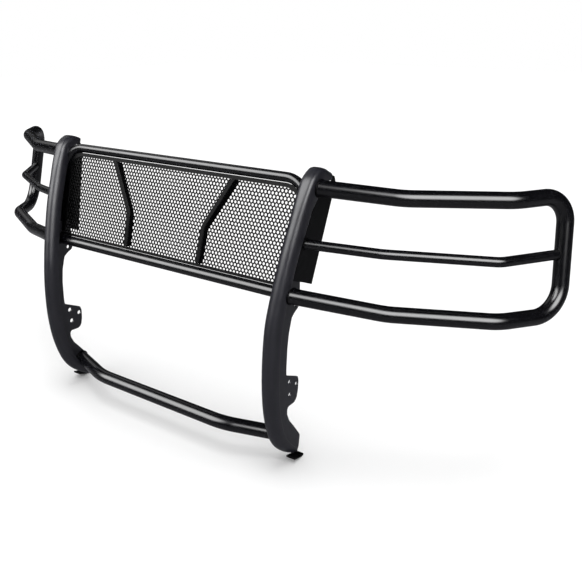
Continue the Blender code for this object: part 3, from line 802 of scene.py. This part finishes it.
def build_rails():
    """Bands that hold the sheet at its top, bottom and ends."""
    outer = corner_arc(TOP_GAP)
    inner = corner_arc(TOP_GAP + RAIL_WIDTH)
    outer.append(run_out(outer, RAIL_END_GAP))
    inner.append(run_out(inner, RAIL_END_GAP))
    loop = [(-x, along) for x, along in reversed(outer)] + outer
    loop += inner[::-1] + [(-x, along) for x, along in inner]
    on_sheet = grille_matrix(MESH_BACK + MESH_THICK + CLEAR + RAIL_THICK / 2)
    mesh = sheet_mesh([loop], RAIL_THICK, on_sheet)
    soften(add_piece("rail_top", mesh, "mesh_coat", "mesh_top_rail"), RAIL_EDGE)

    reach = inner_edge(SHEET_LOW, RAIL_END_GAP)
    low = FRAME_LOW_OD / 2 + RAIL_LOW_GAP
    high = low + RAIL_WIDTH * RAIL_LOW_SHARE
    outline = [(-reach, low), (reach, low), (reach, high), (-reach, high)]
    mesh = sheet_mesh([outline], RAIL_THICK, on_sheet)
    soften(add_piece("rail_bottom", mesh, "mesh_coat", "mesh_bottom_rail"), RAIL_EDGE)

    arc = corner_arc(TOP_GAP + RAIL_WIDTH + 4 * CLEAR)
    x, along = arc[-1]
    foot = high + 2 * CLEAR
    below, above = WEB_TOP - END_RAIL_STEP, WEB_TOP + END_RAIL_STEP
    beside_web = inner_edge(below, RAIL_END_GAP)
    corners = [(END_RAIL_NEAR, foot), (beside_web, foot), (beside_web, below),
               (inner_edge(above, RAIL_END_GAP), WEB_TOP), run_out(arc, RAIL_END_GAP),
               (END_RAIL_NEAR, along - math.tan(TOP_DROP_ANGLE) * (END_RAIL_NEAR - x))]
    for label, side in SIDES:
        outline = [(side * across, up) for across, up in corners]
        mesh = sheet_mesh([outline], RAIL_THICK, on_sheet)
        piece = add_piece("rail_end_" + label, mesh, "mesh_coat", "mesh_end_rail_" + label)
        soften(piece, RAIL_EDGE)


STRUT_WIDTH = 0.021
STRUT_FACE = 0.014           # width of its raised front face
STRUT_DEPTH = 0.0160
STRUT_LINE = [(0.1340, 0.0262), (0.1374, 0.1248), (0.2206, 0.2750)]    # up the rake
STRUT_BEND = 0.060
STRUT_STEPS = 12
STRUT_EDGE = 0.0028


def build_strut(label, side):
    """Formed rib with sloping sides, bent once at mid height."""
    corners = [(side * x, along, 0.0) for x, along in STRUT_LINE]
    line = rounded_route(corners, [STRUT_BEND], STRUT_STEPS)
    rear = MESH_BACK + MESH_THICK + CLEAR
    profile = [(STRUT_WIDTH / 2, rear), (STRUT_FACE / 2, rear + STRUT_DEPTH),
               (-STRUT_FACE / 2, rear + STRUT_DEPTH), (-STRUT_WIDTH / 2, rear)]
    sections = []
    for k, place in enumerate(line):
        before = line[max(k - 1, 0)]
        after = line[min(k + 1, len(line) - 1)]
        way = (after - before).normalized()
        across = Vector((-way.y, way.x, 0.0))
        sections.append([on_grille(*(place + across * reach)[:2], off)
                         for reach, off in profile])
    mesh = loft_mesh(sections)
    under_rail = SHEET_HIGH - RAIL_WIDTH - 2 * CLEAR
    up_rake = grille_matrix(0.0).to_3x3() @ Vector((0.0, 1.0, 0.0))
    trim(mesh, on_grille(0.0, under_rail), up_rake)
    piece = add_piece("strut_" + label, mesh, "plate_coat", "grille_strut_" + label)
    soften(piece, STRUT_EDGE, 4)


# --------------------------------------------------------------- lower crossbar
CROSS_BEND = Vector((0.2431, -0.0569, 0.0957))
CROSS_END = Vector((0.3920, 0.0040, 0.0785))
CROSS_RADIUS = 0.18
CROSS_REACH = 0.30           # past the web, where it is trimmed


def crossbar_route():
    """Axis of the lower crossbar, carried on past both webs."""
    far = CROSS_BEND + (CROSS_END - CROSS_BEND).normalized() * CROSS_REACH
    corners = [far, CROSS_BEND]
    return rounded_route([(-p.x, p.y, p.z) for p in corners] + corners[::-1],
                         [CROSS_RADIUS, CROSS_RADIUS])


def build_crossbar():
    """The bent tube between the webs near the feet."""
    mesh = tube_mesh(crossbar_route(), TUBE_OD)
    reach = WEB_X - WEB_THICK / 2 - CLEAR
    for label, side in SIDES:
        wall = (Vector((side * reach, 0.0, 0.0)), Vector((side, 0.0, 0.0)))
        trim(mesh, *wall)
        bend, end = mirrored([tuple(CROSS_BEND), tuple(CROSS_END)], side)
        weld_ring("weld_crossbar_" + label, bend, end, TUBE_OD / 2, meet_plane(*wall))
    add_piece("crossbar", mesh, "tube_coat", "lower_crossbar")


for label, side in SIDES:
    build_shell(label, side)
    build_web(label, side)
    build_foot(label, side)
    build_side_plate(label, side)
    build_wing(label, side)
    build_strut(label, side)
build_grille_tubes()
build_mesh_panel()
build_rails()
build_crossbar()

# ------------------------------------------------------------- floor and lights
FLOOR_SIZE = 24.0
FLOOR_PLACE = (0.0, 4.0, -0.0002)
FLOOR_TONE = 0.93
FLOOR_ROUGHNESS = 0.9
FILL = 1.02                  # level of the soft white light from all round
OVERHEAD = 0.70              # strength of the broad light straight above
OVERHEAD_SPREAD = math.radians(26)


def build_floor():
    """A plain pale floor that reflections don't see."""
    bpy.ops.mesh.primitive_plane_add(size=FLOOR_SIZE, location=FLOOR_PLACE)
    floor = bpy.context.object
    floor.name = "floor"
    material = bpy.data.materials.new("pale_floor")
    material.use_nodes = True
    shader = material.node_tree.nodes["Principled BSDF"]
    shader.inputs["Base Color"].default_value = (FLOOR_TONE, FLOOR_TONE, FLOOR_TONE, 1.0)
    shader.inputs["Roughness"].default_value = FLOOR_ROUGHNESS
    shader.inputs["Specular IOR Level"].default_value = 0.0
    floor.data.materials.append(material)
    floor.visible_glossy = False


# Soft boxes as reflections see them: azimuth to the right of the front, elevation,
# half-width of the bright core and of its faded rim, and brightness.
SOFT_BOXES = [
    (46.0, 38.0, 6.0, 32.0, 10.0),
    (-40.0, 36.0, 6.0, 34.0, 8.0),
    (-112.0, 32.0, 3.0, 26.0, 0.5),
]
# The rest of the studio in reflections, from straight down to straight up: its place
# on the way and its level.
STUDIO = [(0.0, 0.16), (0.30, 0.20), (0.46, 0.07), (0.52, 0.015), (0.80, 0.010), (1.0, 0.010)]
BLUE_TINT = 1.05


def heading(azimuth, elevation):
    """Unit vector towards an azimuth and elevation in degrees."""
    azimuth, elevation = math.radians(azimuth), math.radians(elevation)
    return Vector((math.sin(azimuth) * math.cos(elevation),
                   -math.cos(azimuth) * math.cos(elevation), math.sin(elevation)))


def build_world():
    """White for the camera, soft white light, and a dark studio in reflections.

    The world isn't sampled as a light, because its white background would then count
    in reflections as well.
    """
    world = bpy.data.worlds.new("studio")
    bpy.context.scene.world = world
    world.use_nodes = True
    world.cycles.sampling_method = "NONE"
    nodes = world.node_tree.nodes
    links = world.node_tree.links
    nodes.clear()
    place = nodes.new("ShaderNodeTexCoord")
    rays = nodes.new("ShaderNodeLightPath")

    split = nodes.new("ShaderNodeSeparateXYZ")
    links.new(place.outputs["Generated"], split.inputs["Vector"])
    height = nodes.new("ShaderNodeMapRange")
    height.inputs["From Min"].default_value = -1.0
    links.new(split.outputs["Z"], height.inputs["Value"])
    ramp = nodes.new("ShaderNodeValToRGB")
    while len(ramp.color_ramp.elements) < len(STUDIO):
        ramp.color_ramp.elements.new(0.5)
    for element, (spot, level) in zip(ramp.color_ramp.elements, STUDIO):
        element.position = spot
        element.color = (level, level, level * BLUE_TINT, 1.0)
    links.new(height.outputs["Result"], ramp.inputs["Fac"])

    glow = None
    for azimuth, elevation, core, rim, level in SOFT_BOXES:
        aim = nodes.new("ShaderNodeVectorMath")
        aim.operation = "DOT_PRODUCT"
        aim.inputs[1].default_value = heading(azimuth, elevation)
        links.new(place.outputs["Generated"], aim.inputs[0])
        fade = nodes.new("ShaderNodeMapRange")
        fade.interpolation_type = "SMOOTHERSTEP"
        fade.inputs["From Min"].default_value = math.cos(math.radians(rim))
        fade.inputs["From Max"].default_value = math.cos(math.radians(core))
        fade.inputs["To Max"].default_value = level
        links.new(aim.outputs["Value"], fade.inputs["Value"])
        total = fade.outputs["Result"]
        if glow:
            both = nodes.new("ShaderNodeMath")
            links.new(glow, both.inputs[0])
            links.new(total, both.inputs[1])
            total = both.outputs["Value"]
        glow = total

    def background(strength):
        node = nodes.new("ShaderNodeBackground")
        node.inputs["Color"].default_value = (1.0, 1.0, 1.0, 1.0)
        node.inputs["Strength"].default_value = strength
        return node

    def mixed(factor, first, second):
        node = nodes.new("ShaderNodeMixShader")
        links.new(factor, node.inputs["Fac"])
        links.new(first, node.inputs[1])
        links.new(second, node.inputs[2])
        return node.outputs["Shader"]

    sky = background(FILL)
    seen = background(1.0)
    dark = background(1.0)
    links.new(ramp.outputs["Color"], dark.inputs["Color"])
    boxes = background(1.0)
    links.new(glow, boxes.inputs["Strength"])
    studio = nodes.new("ShaderNodeAddShader")
    links.new(dark.outputs["Background"], studio.inputs[0])
    links.new(boxes.outputs["Background"], studio.inputs[1])
    shown = mixed(rays.outputs["Is Glossy Ray"], sky.outputs["Background"],
                  studio.outputs["Shader"])
    shown = mixed(rays.outputs["Is Camera Ray"], shown, seen.outputs["Background"])
    out = nodes.new("ShaderNodeOutputWorld")
    links.new(shown, out.inputs["Surface"])


def build_overhead():
    """A broad light straight above, for the soft shadow under the crossbar."""
    light = bpy.data.lights.new("overhead", "SUN")
    light.energy = OVERHEAD
    light.angle = OVERHEAD_SPREAD
    lamp = bpy.data.objects.new("overhead", light)
    bpy.context.scene.collection.objects.link(lamp)
    lamp.visible_glossy = False


build_floor()
build_world()
build_overhead()

# ----------------------------------------------------------------------- camera
VIEW_AZIMUTH = 31.68         # degrees, as heading() takes them
VIEW_ELEVATION = 23.41
VIEW_DISTANCE = 1.534
VIEW_TARGET = TO_FRAME @ Vector((0.4349, 0.0, 0.5240))
SENSOR_WIDTH = 36.0          # mm
FOCAL_LENGTH = 38.30         # mm
NEAR_LIMIT = 0.02

back = heading(VIEW_AZIMUTH, VIEW_ELEVATION)
camera = bpy.data.objects.new("camera", bpy.data.cameras.new("camera"))
bpy.context.scene.collection.objects.link(camera)
camera.location = VIEW_TARGET + back * VIEW_DISTANCE
camera.rotation_euler = back.to_track_quat("Z", "Y").to_euler()
camera.data.sensor_width = SENSOR_WIDTH
camera.data.lens = FOCAL_LENGTH
camera.data.clip_start = NEAR_LIMIT
bpy.context.scene.camera = camera
bpy.context.scene.view_settings.view_transform = "Standard"
